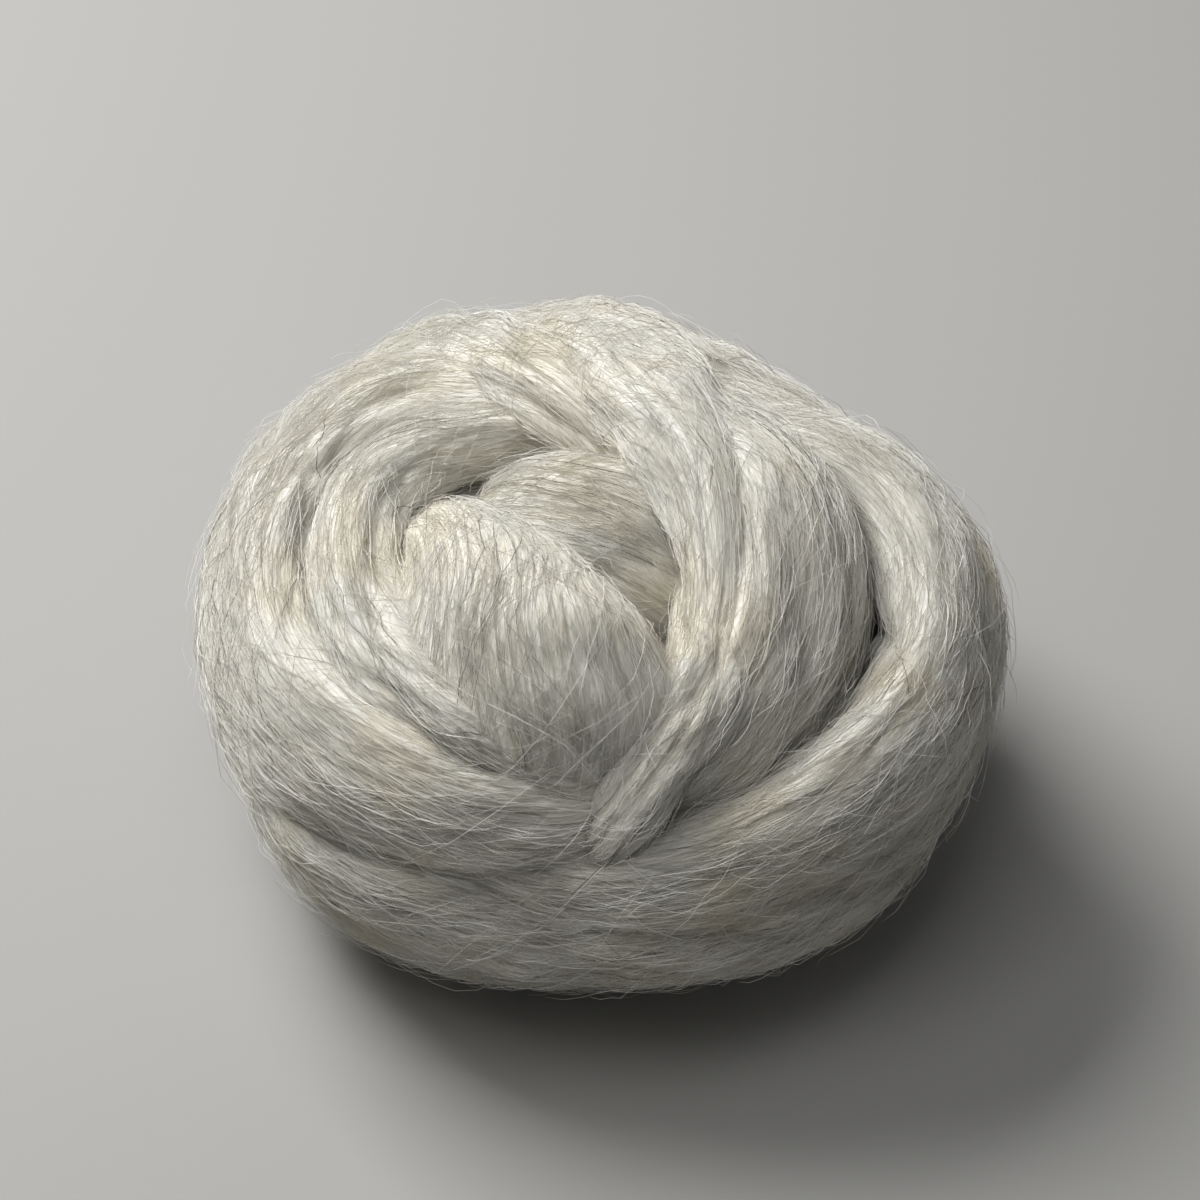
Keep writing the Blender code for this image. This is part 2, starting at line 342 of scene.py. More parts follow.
class RovingBall(bpy.types.PropertyGroup):
    """The wound ball as a whole."""

    size: FloatVectorProperty(
        name="Envelope",
        description="Width, length and height of the envelope that the turns are wound to",
        default=(150 * MM, 140 * MM, 100 * MM),
        size=3,
        subtype="XYZ",
        unit="LENGTH",
    )
    middle: FloatVectorProperty(
        name="Middle",
        description="Middle of the envelope, over the surface that the ball rests on",
        default=(-0.35 * MM, -0.35 * MM, 46.2 * MM),
        size=3,
        subtype="TRANSLATION",
        unit="LENGTH",
    )
    tilt: FloatProperty(
        name="Winding Tilt",
        description="How far the winding axis leans from upright, to the front",
        default=math.radians(40),
        subtype="ANGLE",
        unit="ROTATION",
    )
    core_shrink: FloatProperty(
        name="Core Shrink",
        description="How far the packed middle lies under the envelope",
        default=18 * MM,
        unit="LENGTH",
    )
    seed: IntProperty(name="Seed", description="Picks how the locks wander", default=11)


class RovingFibres(bpy.types.PropertyGroup):
    """The fibres laid over the turns."""

    laid: IntProperty(
        name="Laid Fibres",
        description="Fibres in each of the laid pieces, for 100 square centimetres",
        default=1750,
    )
    width: FloatProperty(
        name="Fibre Width",
        description="Width of a drawn fibre, which stands for a few real ones side by side",
        default=0.115 * MM,
        unit="LENGTH",
    )
    length: FloatProperty(
        name="Fibre Length",
        description="Mean length of a laid fibre",
        default=25 * MM,
        unit="LENGTH",
    )
    loose: IntProperty(
        name="Loose Fibres",
        description="Fibres that stand off the ball, for 100 square centimetres",
        default=300,
    )
    fuzz: IntProperty(
        name="Fuzz",
        description="Short fibres that curl just over the turns, for 100 square centimetres",
        default=2000,
    )
    guard: IntProperty(
        name="Guard Hairs",
        description="Dark guard hairs, for 100 square centimetres",
        default=36,
    )


class RovingColours(bpy.types.PropertyGroup):
    """The colours of the wool, and of the card under it."""

    # Real fibres pass much of their light on to the ones under them. The drawn ones don't, so their
    # own colours are lighter than the ball looks.
    wool: colour_setting("Wool", "Colour of most fibres", "EFEDE4")
    light: colour_setting("Lightest Wool", "Colour of the whitest fibres", "FBFAF6")
    shade: colour_setting("Duller Wool", "Colour of the duller streaks and loose fibres", "D3CEC0")
    grey: colour_setting("Grey Wool", "Colour of the few grey fibres among the white", "857E70")
    guard: colour_setting("Guard Hairs", "Colour of the darkest guard hairs", "2E2922")
    card: colour_setting("Card", "Colour of the card that the ball lies on", "B4B3B0")


class RovingStage(bpy.types.PropertyGroup):
    """Floor, light and camera."""

    elevation: FloatProperty(
        name="Camera Elevation",
        description="How far above the table the camera looks down from",
        default=math.radians(50),
        subtype="ANGLE",
        unit="ROTATION",
    )
    distance: FloatProperty(
        name="Camera Distance",
        description="From the ball to the camera",
        default=0.9,
        unit="LENGTH",
    )
    view_width: FloatProperty(
        name="View Width",
        description="Width of what the camera sees at the ball",
        default=0.2235,
        unit="LENGTH",
    )
    shift: FloatVectorProperty(
        name="Camera Shift",
        description="How far the picture is shifted, as a share of its width",
        default=(0.0042, 0.0229),
        size=2,
    )
    ambient: FloatProperty(
        name="Ambient Light",
        description="Strength of the even light from all round",
        default=0.1,
    )


# ---------------------------------------------------------------- winding


def winding_frame(tilt):
    """The ball's right, its back and its winding axis, as unit vectors."""
    right = np.array((1.0, 0.0, 0.0))
    back = np.array((0.0, math.cos(tilt), math.sin(tilt)))
    axis = np.array((0.0, -math.sin(tilt), math.cos(tilt)))
    return right, back, axis


def envelope_points(ball, around, down, sink):
    """Points sink under the envelope in the directions around and down, from the ball's middle."""
    right, back, axis = winding_frame(ball.tilt)
    level = np.cos(around)[:, None] * right + np.sin(around)[:, None] * back
    direction = np.sin(down)[:, None] * level + np.cos(down)[:, None] * axis
    reach = 1 / np.linalg.norm(direction / (np.array(ball.size) / 2), axis=1)
    return direction * (reach - sink)[:, None]


def smooth_through(rows, steps):
    """Rows read from a Catmull-Rom curve through the given ones, steps to each gap."""
    rows = np.array(rows, float)
    ends = np.vstack((2 * rows[0] - rows[1], rows, 2 * rows[-1] - rows[-2]))
    t = (np.arange(steps) / steps)[:, None]
    made = [
        start
        + t * (end - before) / 2
        + t**2 * (before - 2.5 * start + 2 * end - after / 2)
        + t**3 * (1.5 * (start - end) + (after - before) / 2)
        for before, start, end, after in zip(ends, ends[1:], ends[2:], ends[3:])
    ]
    return np.vstack(made + [rows[-1]])


def route_of(ball, rows):
    """How far along each ring lies, its middle, and the strand's width, depth and lean there."""
    fine = smooth_through(rows, STEPS_BETWEEN_ROWS)
    around, down = np.radians(fine[:, 0]), np.radians(fine[:, 1])
    places = envelope_points(ball, around, down, fine[:, 2] * MM)
    run = np.concatenate(([0], np.cumsum(np.linalg.norm(np.diff(places, axis=0), axis=1))))
    stations = np.linspace(0, run[-1], max(FEWEST_RINGS, round(run[-1] / RING_STEP)) + 1)
    columns = np.column_stack((places, fine[:, 3:5] * MM, np.radians(fine[:, 5])))
    route = np.column_stack([np.interp(stations, run, column) for column in columns.T])
    return stations, route[:, :3], route[:, 3], route[:, 4], route[:, 5]


def wander(along, length, rng):
    """A smooth random curve, about 1 high, that changes over about that length."""
    height = np.zeros_like(along)
    for part in WANDER_PARTS:
        height += np.sin(2 * math.pi * along / (length * part) + rng.uniform(0, 2 * math.pi)) * part
    return height / WANDER_HEIGHT


def locks(turn, along, rng):
    """How far the locks of fibre stand out from the plain oval, for each ring and turn."""
    height = np.zeros((len(along), len(turn)))
    for count, tall, strays in LOCKS:
        phase = rng.uniform(0, 2 * math.pi) + strays * math.pi * wander(along, LOCK_WANDER, rng)
        swell = 1 + SWELL * wander(along, LOCK_SWELL, rng)
        twist = 2 * math.pi * TWIST * along
        angle = count * turn[None, :] / 2 + (phase + twist)[:, None]
        height += tall * MM * swell[:, None] * (np.abs(np.cos(angle)) - 2 / math.pi)
    return height


def strand_rings(ball, rows, rng):
    """The rings of points of one swept strand, how far along each lies, and its mean girth."""
    along, places, width, depth, lean = route_of(ball, rows)
    tangent = np.gradient(places, axis=0)
    tangent /= np.linalg.norm(tangent, axis=1)[:, None]
    outward = places - tangent * np.sum(places * tangent, axis=1)[:, None]
    outward /= np.linalg.norm(outward, axis=1)[:, None]
    across = np.cross(tangent, outward)
    cosine, sine = np.cos(lean)[:, None], np.sin(lean)[:, None]
    across, outward = across * cosine + outward * sine, outward * cosine - across * sine
    from_end = np.minimum(1, np.minimum(along, along[-1] - along) / END_TAPER)
    full = END_FULLNESS + (1 - END_FULLNESS) * np.sqrt(1 - (1 - from_end) ** 2)
    # The seam, at the start of the turn, runs along the strand's inner side.
    turn = np.linspace(0, 2 * math.pi, RING_POINTS, endpoint=False) - math.pi / 2
    rise = locks(turn, along, rng) * full[:, None]
    sideways = (width * full / 2)[:, None] * np.cos(turn) + rise * np.cos(turn)
    upwards = (depth * full / 2)[:, None] * np.sin(turn) + rise * np.sin(turn)
    rings = places[:, None] + across[:, None] * sideways[..., None] + outward[:, None] * upwards[..., None]
    girth = math.pi * (3 * (width + depth) - np.sqrt((3 * width + depth) * (width + 3 * depth))) / 2
    return rings, along, float(np.mean(girth))


def core_rings(ball, rng):
    """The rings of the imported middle, an ellipsoid under the envelope, along the ball's width."""
    half = np.array(ball.size) / 2 - ball.core_shrink
    slope = np.linspace(CORE_POLE, math.pi - CORE_POLE, CORE_RINGS)
    turn = np.linspace(0, 2 * math.pi, RING_POINTS, endpoint=False)
    along = half[0] * (1 - np.cos(slope))
    rise = 1 + locks(turn, along, rng) / half[2]
    x = np.repeat(-half[0] * np.cos(slope)[:, None], RING_POINTS, axis=1)
    y = half[1] * np.sin(slope)[:, None] * np.cos(turn) * rise
    z = half[2] * np.sin(slope)[:, None] * np.sin(turn) * rise
    return np.stack((x, y, z), axis=2), along, math.pi * (half[1] + half[2])


def shells_mesh(name, shells):
    """One mesh of closed shells, with its lay map: how far along and across the fibres each lies."""
    places, faces, corners = [], [], []
    first, row_start = 0, LAY_GAP
    for (rings, along, girth), grain in shells:
        count, points = rings.shape[:2]
        places.append(rings.reshape(-1, 3))
        ring, point = np.meshgrid(np.arange(count - 1), np.arange(points), indexing="ij")
        ring, point = ring.ravel(), point.ravel()
        after = (point + 1) % points
        quads = np.stack(
            (ring * points + point, (ring + 1) * points + point,
             (ring + 1) * points + after, ring * points + after), axis=1
        )
        faces += (quads + first).tolist()
        far = np.stack((along[ring], along[ring + 1], along[ring + 1], along[ring]), axis=1)
        step = girth / points
        round_it = np.stack((point, point, point + 1, point + 1), axis=1) * step
        lay = [np.stack((far, round_it), axis=2).reshape(-1, 2)]
        for end, order in ((0, 1), (count - 1, -1)):
            cap = (np.arange(points) + end * points)[::order]
            faces.append((cap + first).tolist())
            lay.append(np.column_stack((np.full(points, along[end]), (cap % points) * step)))
        cosine, sine = math.cos(math.radians(grain)), math.sin(math.radians(grain))
        lay = np.vstack(lay) @ np.array(((cosine, -sine), (sine, cosine)))
        lay += (LAY_GAP, row_start) - lay.min(axis=0)
        corners.append(lay)
        first += count * points
        row_start = lay[:, 1].max() + LAY_GAP
    mesh = bpy.data.meshes.new(name)
    mesh.from_pydata(np.vstack(places).tolist(), [], faces)
    lay = mesh.uv_layers.new(name="lay")
    lay.data.foreach_set("uv", (np.vstack(corners) / LAY_SPAN).astype(np.float32).ravel())
    mesh.update()
    return mesh


def outward_faces(mesh):
    """Turns each shell's faces outwards."""
    bm = bmesh.new()
    bm.from_mesh(mesh)
    bmesh.ops.recalc_face_normals(bm, faces=bm.faces)
    bm.to_mesh(mesh)
    bm.free()


def mark_open(mesh):
    """Writes how much of its surroundings each point sees, 0 inside the ball and 1 in the open."""
    places = np.array([v.co for v in mesh.vertices])
    normals = np.array([n.vector for n in mesh.vertex_normals])
    tree = BVHTree.FromPolygons(places.tolist(), [list(p.vertices) for p in mesh.polygons])
    index = np.arange(OPEN_RAYS) + 0.5
    height = 1 - index / OPEN_RAYS * OPEN_REACH
    spin = index * math.pi * (3 - math.sqrt(5))
    level = np.sqrt(1 - height**2)
    rays = np.stack((level * np.cos(spin), level * np.sin(spin), height), axis=1)
    seen = []
    for place, normal in zip(places, normals):
        start = Vector(place + normal * OPEN_START)
        turned = Vector(normal).to_track_quat("Z", "Y").to_matrix()
        free = sum(tree.ray_cast(start, turned @ Vector(ray))[0] is None for ray in rays)
        seen.append(free / OPEN_RAYS)
    layer = mesh.attributes.new("openness", "FLOAT", "POINT")
    layer.data.foreach_set("value", np.array(seen, np.float32))


# ---------------------------------------------------------------- nodes


def add(tree, kind, *values, inputs=None, **settings):
    """Adds one node with its settings, and links or sets its open inputs in order or by name."""
    node = tree.nodes.new(kind)
    for name, value in settings.items():
        setattr(node, name, value)
    pairs = list(zip([socket for socket in node.inputs if socket.enabled], values))
    pairs += [(node.inputs[name], value) for name, value in (inputs or {}).items()]
    for socket, value in pairs:
        if isinstance(value, bpy.types.Node):
            value = next(output for output in value.outputs if output.enabled)
        if isinstance(value, bpy.types.NodeSocket):
            tree.links.new(value, socket)
        elif value is not None:
            socket.default_value = value
    return node


MATH = "ShaderNodeMath"
VECTOR = "ShaderNodeVectorMath"
COMBINE = "ShaderNodeCombineXYZ"
SEPARATE = "ShaderNodeSeparateXYZ"
NOISE = "ShaderNodeTexNoise"
NAMED = "GeometryNodeInputNamedAttribute"
STORE = "GeometryNodeStoreNamedAttribute"
RANDOM = "FunctionNodeRandomValue"

FIBRE_INPUTS = (
    ("Skin", "NodeSocketGeometry", None),
    ("Density", "NodeSocketFloat", 0.0),
    ("Least Openness", "NodeSocketFloat", 0.04),
    ("Length", "NodeSocketFloat", 30 * MM),
    ("Length Spread", "NodeSocketFloat", 0.4),
    ("Width", "NodeSocketFloat", 0.2 * MM),
    ("Lift", "NodeSocketFloat", 0.6 * MM),
    ("Rise", "NodeSocketFloat", 0.0),
    ("Arch", "NodeSocketFloat", 0.0),
    ("Drift", "NodeSocketFloat", 0.3),
    ("Wave", "NodeSocketFloat", 1.3 * MM),
    ("Wave Length", "NodeSocketFloat", 8 * MM),
    ("Curl", "NodeSocketFloat", 0.0),
    ("Roll", "NodeSocketFloat", 0.35),
    ("Steps", "NodeSocketInt", 8),
    ("Round", "NodeSocketBool", False),
    ("Seed", "NodeSocketInt", 0),
    ("Material", "NodeSocketMaterial", None),
)


def fibre_starts(tree, given):
    """The middles of the fibres, on what can be seen of the turns, each with its number."""
    openness = add(tree, NAMED, "openness", data_type="FLOAT")
    cover = add(tree, "ShaderNodeMapRange", openness, given["Least Openness"], FULL_COVER)
    density = add(tree, MATH, cover, given["Density"], operation="MULTIPLY")
    points = add(
        tree,
        "GeometryNodeDistributePointsOnFaces",
        inputs={"Mesh": given["Skin"], "Density": density, "Seed": given["Seed"]},
        distribute_method="RANDOM",
    )
    total = add(tree, "GeometryNodeAttributeDomainSize", points, component="POINTCLOUD")
    number = add(tree, "GeometryNodeInputIndex")
    marked = add(
        tree,
        STORE,
        inputs={"Geometry": points, "Name": "fibre", "Value": number},
        data_type="INT",
        domain="POINT",
    )
    return marked, total


def plain_fibres(tree, given, starts):
    """A straight curve at each start, whose points know how far along it they are."""
    line = add(tree, "GeometryNodeCurvePrimitiveLine", (0.0, 0.0, 0.0), (1.0, 0.0, 0.0))
    count = add(tree, MATH, given["Steps"], 1.0, operation="ADD")
    line = add(tree, "GeometryNodeResampleCurve", inputs={"Curve": line, "Count": count})
    line = add(
        tree,
        STORE,
        inputs={"Geometry": line, "Name": "part", "Value": add(tree, "GeometryNodeSplineParameter")},
        data_type="FLOAT",
        domain="POINT",
    )
    placed = add(tree, "GeometryNodeInstanceOnPoints", inputs={"Points": starts, "Instance": line})
    return add(tree, "GeometryNodeRealizeInstances", placed)


def fibre_noise(tree, fibre, along, scale, row):
    """Three smooth random values, each from -0.5 to 0.5, that change along a fibre."""
    where = add(
        tree,
        COMBINE,
        add(tree, MATH, along, scale, operation="DIVIDE"),
        add(tree, MATH, fibre, 3.17, operation="MULTIPLY"),
        row,
    )
    noise = add(tree, NOISE, inputs={"Vector": where, "Scale": 1.0, "Detail": 1.0})
    return add(tree, VECTOR, noise.outputs["Color"], (0.5, 0.5, 0.5), operation="SUBTRACT")


def fibre_routes(tree, given, curves, fibre, part):
    """Lays each curve along the turns by their lay map, and off them by its own height."""
    spread = add(tree, RANDOM, -1.0, 1.0, fibre, 1)
    spread = add(tree, MATH, spread, given["Length Spread"], 1.0, operation="MULTIPLY_ADD")
    length = add(tree, MATH, spread, given["Length"], operation="MULTIPLY")
    along = add(tree, MATH, part, 0.5, operation="SUBTRACT")
    along = add(tree, MATH, along, length, operation="MULTIPLY")

    # The slant to the strand is small on most fibres and large on a few.
    either = add(tree, RANDOM, -1.0, 1.0, fibre, 2)
    slant = add(tree, MATH, add(tree, MATH, either, operation="ABSOLUTE"), 1.5, operation="POWER")
    slant = add(tree, MATH, slant, either, operation="MULTIPLY")
    slant = add(tree, MATH, slant, given["Drift"], operation="MULTIPLY")
    plain_slant = add(tree, RANDOM, -SLANT_SPREAD, SLANT_SPREAD, fibre, 3)
    slant = add(tree, MATH, slant, plain_slant, operation="ADD")
    sway = add(tree, SEPARATE, fibre_noise(tree, fibre, along, given["Wave Length"], 0.5))
    waved = add(tree, MATH, sway.outputs["X"], given["Wave"], operation="MULTIPLY")
    sideways = add(tree, MATH, slant, along, waved, operation="MULTIPLY_ADD")
    shift = add(tree, COMBINE, along, sideways, 0.0)
    start = add(tree, NAMED, "lay", data_type="FLOAT_VECTOR")
    per_span = (1 / LAY_SPAN, 1 / LAY_SPAN, 1.0)
    where = add(tree, VECTOR, shift, per_span, start, operation="MULTIPLY_ADD")

    found = []
    for name, value in (
        ("place", add(tree, "GeometryNodeInputPosition")),
        ("outward", add(tree, "GeometryNodeInputNormal")),
    ):
        lay = add(tree, NAMED, "lay", data_type="FLOAT_VECTOR")
        sample = add(
            tree, "GeometryNodeSampleUVSurface", given["Skin"], value, lay, where, data_type="FLOAT_VECTOR"
        )
        curves = add(
            tree,
            STORE,
            inputs={"Geometry": curves, "Name": name, "Value": sample},
            data_type="FLOAT_VECTOR",
            domain="POINT",
        )
        found.append(add(tree, NAMED, name, data_type="FLOAT_VECTOR"))
    place, outward = found

    # What runs off the end of its strand is cut there, and what is then too short is left out.
    off_end = add(tree, MATH, 1.0, sample.outputs["Is Valid"], operation="SUBTRACT")
    curves = add(tree, "GeometryNodeDeleteGeometry", curves, off_end, domain="POINT")
    points = add(tree, "GeometryNodeSplineLength").outputs["Point Count"]
    short = add(tree, MATH, points, LEAST_POINTS, operation="LESS_THAN")
    curves = add(tree, "GeometryNodeDeleteGeometry", curves, short, domain="CURVE")

    # A lying fibre keeps to its own layer and tucks in at both ends; a loose one rises or arches.
    layer = add(tree, MATH, add(tree, RANDOM, 0.0, 1.0, fibre, 4), 2.0, operation="POWER")
    height = add(tree, MATH, layer, given["Lift"], LEAST_HEIGHT, operation="MULTIPLY_ADD")
    rise = add(tree, MATH, part, 1.7, operation="POWER")
    rise = add(tree, MATH, rise, add(tree, RANDOM, 0.1, 1.0, fibre, 5), operation="MULTIPLY")
    height = add(tree, MATH, rise, given["Rise"], height, operation="MULTIPLY_ADD")
    arch = add(tree, MATH, add(tree, MATH, part, math.pi, operation="MULTIPLY"), operation="SINE")
    arch = add(tree, MATH, arch, add(tree, RANDOM, 0.0, 1.0, fibre, 6), operation="MULTIPLY")
    height = add(tree, MATH, arch, given["Arch"], height, operation="MULTIPLY_ADD")
    bob = add(tree, MATH, sway.outputs["Y"], 0.5, operation="MULTIPLY")
    height = add(tree, MATH, bob, given["Wave"], height, operation="MULTIPLY_ADD")
    from_middle = add(tree, MATH, part, 2.0, -1.0, operation="MULTIPLY_ADD")
    from_middle = add(tree, MATH, from_middle, operation="ABSOLUTE")
    tuck = add(tree, MATH, from_middle, 6.0, operation="POWER")
    height = add(tree, MATH, tuck, -END_TUCK, height, operation="MULTIPLY_ADD")
    off = add(tree, VECTOR, outward, inputs={"Scale": height}, operation="SCALE")

    curl_scale = add(tree, MATH, given["Wave Length"], 1.6, operation="MULTIPLY")
    curl = fibre_noise(tree, fibre, along, curl_scale, 7.5)
    curling = add(tree, MATH, part, given["Curl"], operation="MULTIPLY")
    curl = add(tree, VECTOR, curl, inputs={"Scale": curling}, operation="SCALE")
    place = add(tree, VECTOR, add(tree, VECTOR, place, off, operation="ADD"), curl, operation="ADD")
    parts = add(tree, SEPARATE, place).outputs
    over_floor = add(tree, MATH, parts["Z"], FLOOR_GAP, operation="MAXIMUM")
    place = add(tree, COMBINE, parts["X"], parts["Y"], over_floor)
    laid = add(tree, "GeometryNodeSetPosition", inputs={"Geometry": curves, "Position": place})
    laid = add(tree, "GeometryNodeSetCurveNormal", inputs={"Curve": laid, "Normal": outward}, mode="FREE")
    return laid, from_middle


def fibre_profile(tree, shape):
    """A fibre's section, whose points know how far round it they are."""
    return add(
        tree,
        STORE,
        inputs={"Geometry": shape, "Name": "side", "Value": add(tree, "GeometryNodeSplineParameter")},
        data_type="FLOAT",
        domain="POINT",
    )


def fibre_bodies(tree, given, curves, fibre, from_middle):
    """Gives each curve its thickness: a ribbon that is rolled a little, or a three-sided rod."""
    roll = add(tree, RANDOM, -1.0, 1.0, fibre, 7)
    roll = add(tree, MATH, roll, given["Roll"], operation="MULTIPLY")
    curves = add(tree, "GeometryNodeSetCurveTilt", inputs={"Curve": curves, "Tilt": roll})
    curves = add(
        tree,
        STORE,
        inputs={"Geometry": curves, "Name": "tone", "Value": add(tree, RANDOM, 0.0, 1.0, fibre, 8)},
        data_type="FLOAT",
        domain="POINT",
    )
    to_end = add(tree, MATH, 1.0, from_middle, operation="SUBTRACT")
    thin = add(tree, MATH, to_end, 5.0, THIN_END, operation="MULTIPLY_ADD")
    thin = add(tree, MATH, thin, 1.0, operation="MINIMUM")
    half = add(tree, MATH, given["Width"], 0.5, operation="MULTIPLY")
    spread = add(tree, RANDOM, THINNEST, THICKEST, fibre, 9)
    half = add(tree, MATH, half, spread, operation="MULTIPLY")
    half = add(tree, MATH, half, thin, operation="MULTIPLY")
    ribbon = add(tree, "GeometryNodeCurvePrimitiveLine", (-1.0, 0.0, 0.0), (1.0, 0.0, 0.0))
    rod = add(tree, "GeometryNodeCurvePrimitiveCircle", inputs={"Resolution": 3, "Radius": 1.0})
    section = add(
        tree,
        "GeometryNodeSwitch",
        given["Round"],
        fibre_profile(tree, ribbon),
        fibre_profile(tree, rod),
        input_type="GEOMETRY",
    )
    swept = add(
        tree,
        "GeometryNodeCurveToMesh",
        inputs={"Curve": curves, "Profile Curve": section, "Scale": half, "Fill Caps": given["Round"]},
    )
    return add(tree, "GeometryNodeSetShadeSmooth", inputs={"Geometry": swept, "Shade Smooth": True})


def fibre_cells(tree, swept, total, fibre, part):
    """Gives each fibre a cell of its own in the map that its colour is baked through."""
    side = add(tree, NAMED, "side", data_type="FLOAT")
    filled = 1 - 2 * CELL_MARGIN
    cells = add(tree, MATH, add(tree, MATH, total, operation="SQRT"), operation="CEIL")
    column = add(tree, MATH, fibre, cells, operation="MODULO")
    row = add(tree, MATH, add(tree, MATH, fibre, cells, operation="DIVIDE"), operation="FLOOR")
    across = add(tree, MATH, part, filled, CELL_MARGIN, operation="MULTIPLY_ADD")
    across = add(tree, MATH, column, across, operation="ADD")
    up = add(tree, MATH, side, filled, CELL_MARGIN, operation="MULTIPLY_ADD")
    up = add(tree, MATH, row, up, operation="ADD")
    cell = add(
        tree,
        COMBINE,
        add(tree, MATH, across, cells, operation="DIVIDE"),
        add(tree, MATH, up, cells, operation="DIVIDE"),
        0.0,
    )
    return add(
        tree,
        STORE,
        inputs={"Geometry": swept, "Name": "OFBake", "Value": cell},
        data_type="FLOAT2",
        domain="CORNER",
    )


def fibre_tree():
    """Fibres that run along the turns by their lay map, with their sizes as named inputs."""
    tree = bpy.data.node_groups.new("roving fibres", "GeometryNodeTree")
    for name, kind, default in FIBRE_INPUTS:
        socket = tree.interface.new_socket(name, in_out="INPUT", socket_type=kind)
        if default is not None:
            socket.default_value = default
    tree.interface.new_socket("Geometry", in_out="OUTPUT", socket_type="NodeSocketGeometry")
    given = add(tree, "NodeGroupInput").outputs
    part = add(tree, NAMED, "part", data_type="FLOAT")
    fibre = add(tree, NAMED, "fibre", data_type="INT")
    starts, total = fibre_starts(tree, given)
    curves = plain_fibres(tree, given, starts)
    curves, from_middle = fibre_routes(tree, given, curves, fibre, part)
    swept = fibre_bodies(tree, given, curves, fibre, from_middle)
    swept = fibre_cells(tree, swept, total, fibre, part)
    swept = add(tree, "GeometryNodeRealizeInstances", swept)
    swept = add(tree, "GeometryNodeSetMaterial", inputs={"Geometry": swept, "Material": given["Material"]})
    add(tree, "NodeGroupOutput", swept)
    return tree


def grown(name, skin, tree, sizes):
    """One plain mesh piece that the tree makes over skin with these sizes."""
    worker = bpy.data.objects.new(name + "_worker", skin.data.copy())
    bpy.context.scene.collection.objects.link(worker)
    modifier = worker.modifiers.new("fibres", "NODES")
    modifier.node_group = tree
    sockets = {item.name: item.identifier for item in tree.interface.items_tree if item.in_out == "INPUT"}
    for key, value in sizes.items():
        modifier[sockets[key]] = value
    bpy.context.view_layer.update()
    graph = bpy.context.evaluated_depsgraph_get()
    mesh = bpy.data.meshes.new_from_object(worker.evaluated_get(graph))
    bpy.data.objects.remove(worker, do_unlink=True)
    mesh.name = name
    for spare in ("place", "outward", "lay", "openness", "side", "fibre", "part"):
        if spare in mesh.attributes:
            mesh.attributes.remove(mesh.attributes[spare])
    piece = bpy.data.objects.new(name, mesh)
    bpy.context.scene.collection.objects.link(piece)
    return piece


def carried(piece):
    """Makes a finished piece part of the ball."""
    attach(piece, BODY)
    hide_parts(BALL_NODE)
    return piece


# ---------------------------------------------------------------- materials


def shaded(name, roughness, specular, sheen):
    """A new material with its tree and its shader, set to a plain matt finish."""
    material = bpy.data.materials.new(name)
    material.use_nodes = True
    shader = material.node_tree.nodes["Principled BSDF"]
    shader.inputs["Roughness"].default_value = roughness
    shader.inputs["Specular IOR Level"].default_value = specular
    shader.inputs["IOR"].default_value = WOOL_IOR
    shader.inputs["Sheen Weight"].default_value = sheen
    shader.inputs["Sheen Roughness"].default_value = SHEEN_ROUGHNESS
    return material, material.node_tree, shader


def ramp(tree, value, stops):
    """A colour ramp over value, from (place, colour) stops."""
    node = add(tree, "ShaderNodeValToRGB", value)
    elements = node.color_ramp.elements
    while len(elements) < len(stops):
        elements.new(0.5)
    for element, (place, colour) in zip(elements, stops):
        element.position = place
        element.color = colour
    return node


def in_patches(tree, colour):
    """The colour with the broad, soft patches that raw wool has: yellower, greyer and whiter."""
    spots = add(tree, "ShaderNodeTexCoord").outputs["Object"]
    patches = add(tree, NOISE, inputs={"Vector": spots, "Scale": 1 / (26 * MM), "Detail": 2.0})
    greyer, plain, yellower = linear("FAF9F8"), linear("FFFFFF"), linear("FDFAF4")
    tint = ramp(tree, patches, ((0.36, greyer), (0.5, plain), (0.68, yellower)))
    return add(tree, "ShaderNodeMix", 1.0, colour, tint, data_type="RGBA", blend_type="MULTIPLY")


def combed_wool(colours):
    """Combed wool top seen as a mass: matt and soft, streaked along the strand."""
    material, tree, shader = shaded("combed wool top", 0.85, 0.2, 0.25)
    lay = add(tree, "ShaderNodeUVMap", uv_map="lay")
    # Streaks 0.45 mm wide stand for bundles of the 0.03 mm fibres, which are too fine to show.
    streak = (LAY_SPAN / (16 * MM), LAY_SPAN / (0.45 * MM), 1.0)
    streak = add(tree, VECTOR, lay, streak, operation="MULTIPLY")
    streaks = add(tree, NOISE, inputs={"Vector": streak, "Scale": 1.0, "Detail": 3.0})
    band = (LAY_SPAN / (60 * MM), LAY_SPAN / (3 * MM), 1.0)
    band = add(tree, VECTOR, lay, band, operation="MULTIPLY")
    bands = add(tree, NOISE, inputs={"Vector": band, "Scale": 1.0, "Detail": 2.0})
    bands = add(tree, MATH, bands, 0.4, operation="MULTIPLY")
    mixed = add(tree, MATH, streaks, 0.6, bands, operation="MULTIPLY_ADD")
    stops = ((0.34, colours.shade), (0.5, colours.wool), (0.66, colours.light))
    colour = ramp(tree, mixed, stops)
    tree.links.new(in_patches(tree, colour).outputs[2], shader.inputs["Base Color"])
    bump = add(tree, "ShaderNodeBump", inputs={"Height": mixed, "Strength": 0.5, "Distance": 0.4 * MM})
    tree.links.new(bump.outputs[0], shader.inputs["Normal"])
    return material


